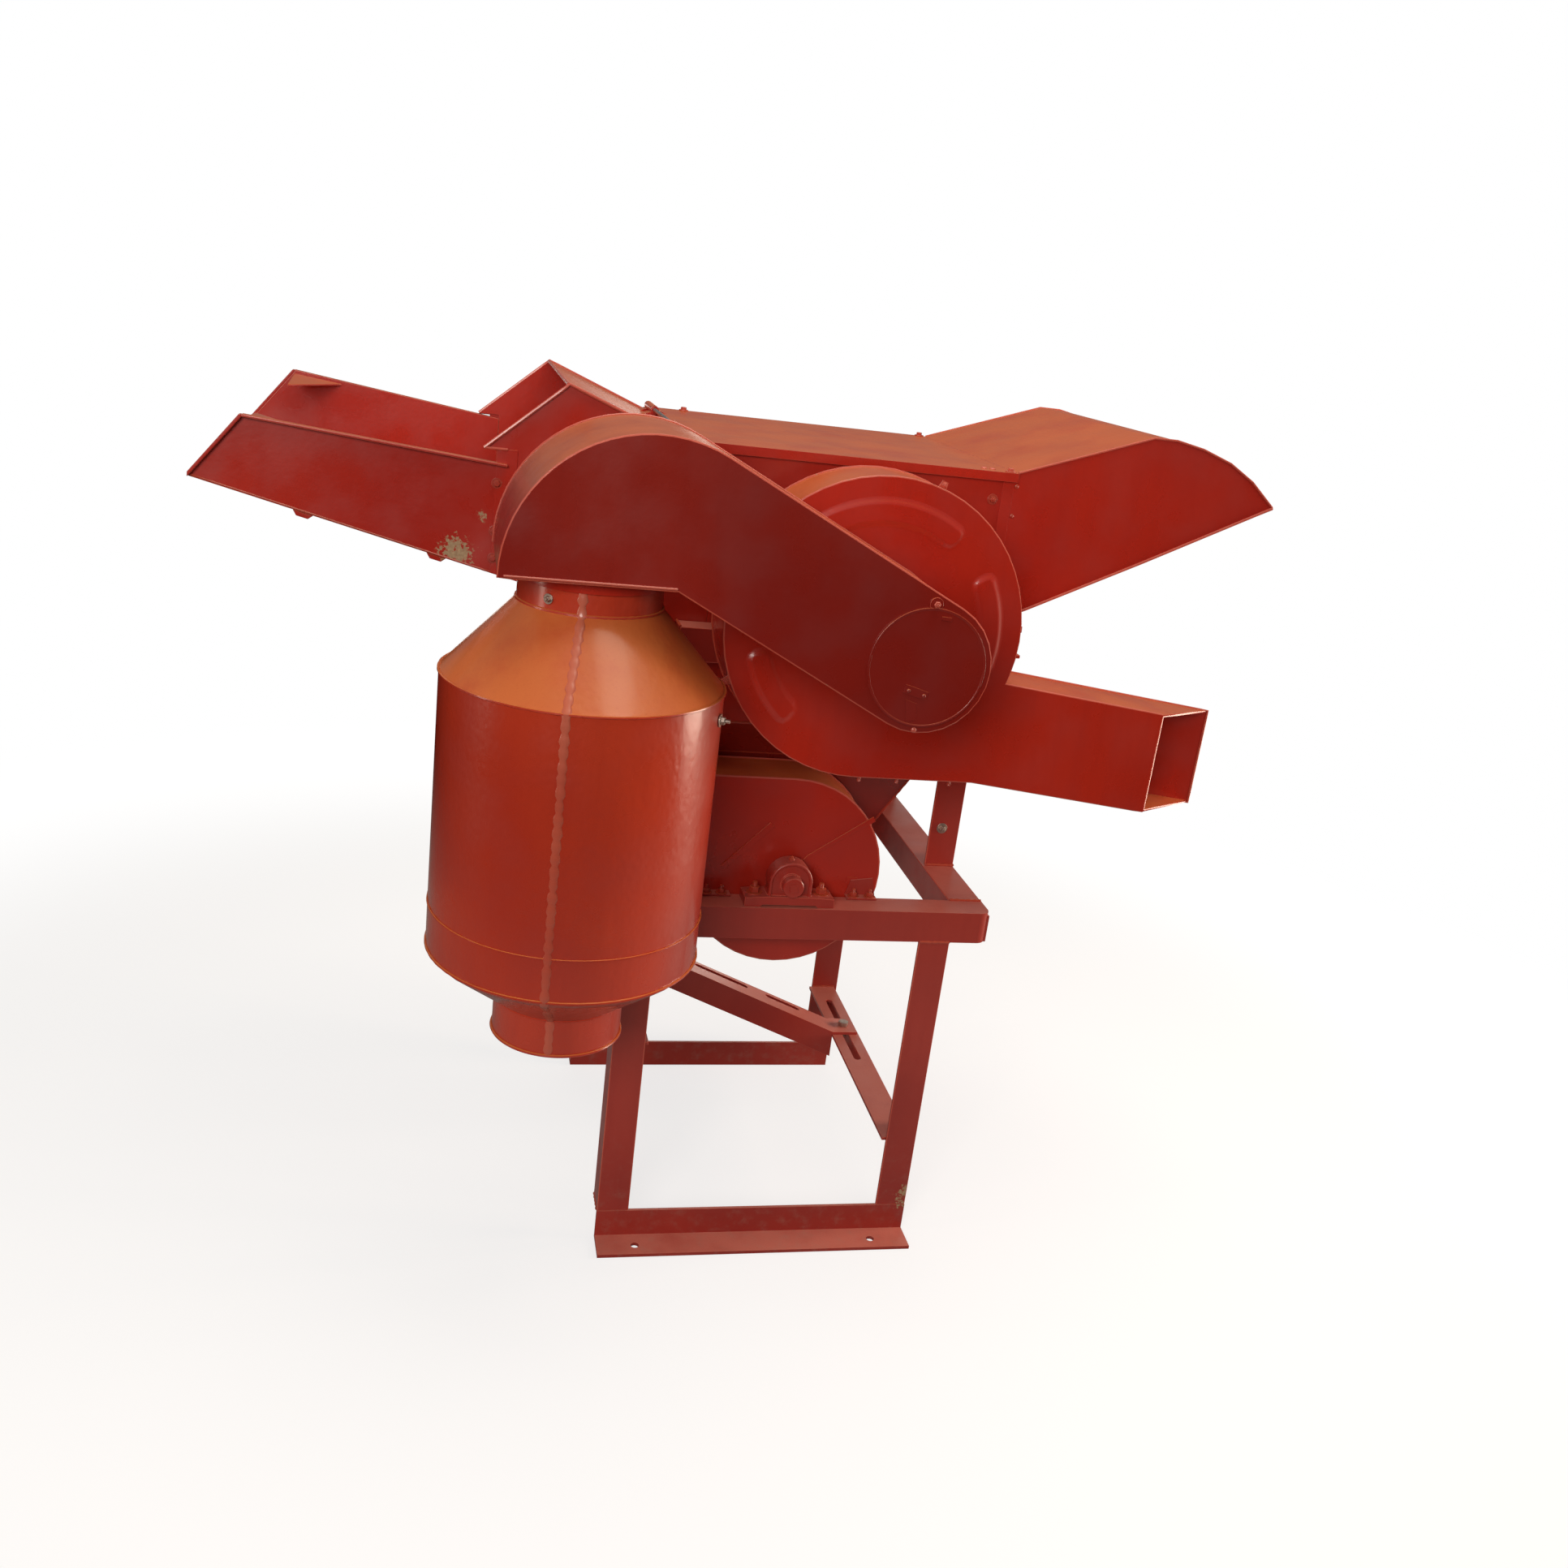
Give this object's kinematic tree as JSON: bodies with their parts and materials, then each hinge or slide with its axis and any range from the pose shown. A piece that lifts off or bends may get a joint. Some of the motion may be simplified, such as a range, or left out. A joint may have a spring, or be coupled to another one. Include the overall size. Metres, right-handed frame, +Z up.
{
  "type": "hammer mill",
  "caption": "Small hammer mill with feed tray, swinging-hammer rotor, discharge hood, suction fan, cyclone and throwing drum on an angle-iron stand.",
  "frame": {"origin": "centre of the machine's box, on the ground under it", "axes": "+X from the feed tray towards the discharge hood, +Y from the cyclone side towards the belt side, +Z up"},
  "size_m": [1.442, 0.946, 1.2034],
  "materials": {
    "enamel": "glossy red-orange enamel on sheet steel",
    "enamel_dark": "glossy brick-red enamel on sheet steel",
    "rail_paint": "satin red enamel on rolled angle iron",
    "cast_paint": "red enamel over rough casting",
    "bare_steel": "turned and sheared mild steel",
    "hammer_steel": "hardened flat bar, worn at the tips",
    "bolt_steel": "zinc-plated bolt with paint overspray",
    "belt_rubber": "matt moulded rubber with fabric cover"
  },
  "bodies": {
    "machine": {"base_rail_back": "rail_paint", "base_rail_front": "rail_paint", "bearing_rail_back": "rail_paint", "bearing_rail_front": "rail_paint", "chamber_body": "enamel", "cover_hinge_pin": "bare_steel", "cyclone": "enamel", "cyclone_bracket": "enamel", "discharge_hood": "enamel", "drive_belt": "belt_rubber", "fan_housing": "enamel", "feed_throat": "enamel", "feed_tray": "enamel", "hopper": "enamel_dark", "leg_back_left": "rail_paint", "leg_back_right": "rail_paint", "leg_front_left": "rail_paint", "leg_front_right": "rail_paint", "post_back_left": "rail_paint", "post_back_right": "rail_paint", "post_front_left": "rail_paint", "post_front_right": "rail_paint", "rotor_bearing_back": "cast_paint", "rotor_bearing_front": "cast_paint", "screen": "bare_steel", "slotted_rail_left": "rail_paint", "slotted_rail_right": "rail_paint", "suction_duct": "enamel_dark", "table_rail_back": "rail_paint", "table_rail_front": "rail_paint", "table_rail_left": "rail_paint", "table_rail_right": "rail_paint", "thrower_bearing_back": "cast_paint", "thrower_bearing_front": "cast_paint", "thrower_casing": "enamel", "transfer_duct": "enamel", "upper_rail_left": "rail_paint", "upper_rail_right": "rail_paint"},
    "top_cover": {"top_cover": "enamel"},
    "engine_rail_group": {"engine_rail": "rail_paint", "engine_bolt_right": "bolt_steel", "engine_bolt_left": "bolt_steel"},
    "rotor_group": {"rotor": "bare_steel", "hammer_pin_1": "bare_steel", "hammer_pin_2": "bare_steel", "hammer_pin_3": "bare_steel", "hammer_pin_4": "bare_steel", "fan_impeller": "bare_steel", "rotor_pulley": "cast_paint"},
    "thrower_group": {"thrower_rotor": "bare_steel", "thrower_pulley": "cast_paint"},
    "eye_cover": {"eye_cover": "enamel_dark"},
    "hammer_1": {"hammer_1": "hammer_steel"},
    "hammer_2": {"hammer_2": "hammer_steel"},
    "hammer_3": {"hammer_3": "hammer_steel"},
    "hammer_4": {"hammer_4": "hammer_steel"},
    "hammer_5": {"hammer_5": "hammer_steel"},
    "hammer_6": {"hammer_6": "hammer_steel"},
    "hammer_7": {"hammer_7": "hammer_steel"},
    "hammer_8": {"hammer_8": "hammer_steel"}
  },
  "joints": [
    {"name": "rotor_spin", "type": "hinge", "parent": "machine", "child": "rotor_group", "pos_m": [0.124, 0.147, 0.9356], "axis": [0, 1, 0], "continuous": true},
    {"name": "thrower_spin", "type": "hinge", "parent": "machine", "child": "thrower_group", "pos_m": [0.069, 0.147, 0.5646], "axis": [0, 1, 0], "continuous": true},
    {"name": "cover_hinge", "type": "hinge", "parent": "machine", "child": "top_cover", "pos_m": [-0.124, 0.147, 1.144], "axis": [0, -1, 0], "range_deg": [0, 100]},
    {"name": "engine_rail_slide", "type": "slide", "parent": "machine", "child": "engine_rail_group", "axis": [0, 1, 0], "range_m": [-0.098, 0.097]},
    {"name": "eye_cover_swing", "type": "hinge", "parent": "machine", "child": "eye_cover", "pos_m": [0.124, -0.4173, 1.02], "axis": [0, -1, 0], "range_deg": [0, 90]},
    {"name": "hammer_1_swing", "type": "hinge", "parent": "rotor_group", "child": "hammer_1", "pos_m": [0.18623, 0.011, 0.99782], "axis": [0, 1, 0], "continuous": true},
    {"name": "hammer_2_swing", "type": "hinge", "parent": "rotor_group", "child": "hammer_2", "pos_m": [0.18623, 0.175, 0.99782], "axis": [0, 1, 0], "continuous": true},
    {"name": "hammer_3_swing", "type": "hinge", "parent": "rotor_group", "child": "hammer_3", "pos_m": [0.06177, 0.045, 0.99782], "axis": [0, 1, 0], "continuous": true},
    {"name": "hammer_4_swing", "type": "hinge", "parent": "rotor_group", "child": "hammer_4", "pos_m": [0.06177, 0.209, 0.99782], "axis": [0, 1, 0], "continuous": true},
    {"name": "hammer_5_swing", "type": "hinge", "parent": "rotor_group", "child": "hammer_5", "pos_m": [0.06177, 0.079, 0.87338], "axis": [0, 1, 0], "continuous": true},
    {"name": "hammer_6_swing", "type": "hinge", "parent": "rotor_group", "child": "hammer_6", "pos_m": [0.06177, 0.243, 0.87338], "axis": [0, 1, 0], "continuous": true},
    {"name": "hammer_7_swing", "type": "hinge", "parent": "rotor_group", "child": "hammer_7", "pos_m": [0.18623, 0.113, 0.87338], "axis": [0, 1, 0], "continuous": true},
    {"name": "hammer_8_swing", "type": "hinge", "parent": "rotor_group", "child": "hammer_8", "pos_m": [0.18623, 0.277, 0.87338], "axis": [0, 1, 0], "continuous": true}
  ],
  "couplings": [
    {"joint": "thrower_spin", "follows": "rotor_spin", "ratio": 1.2752}
  ]
}
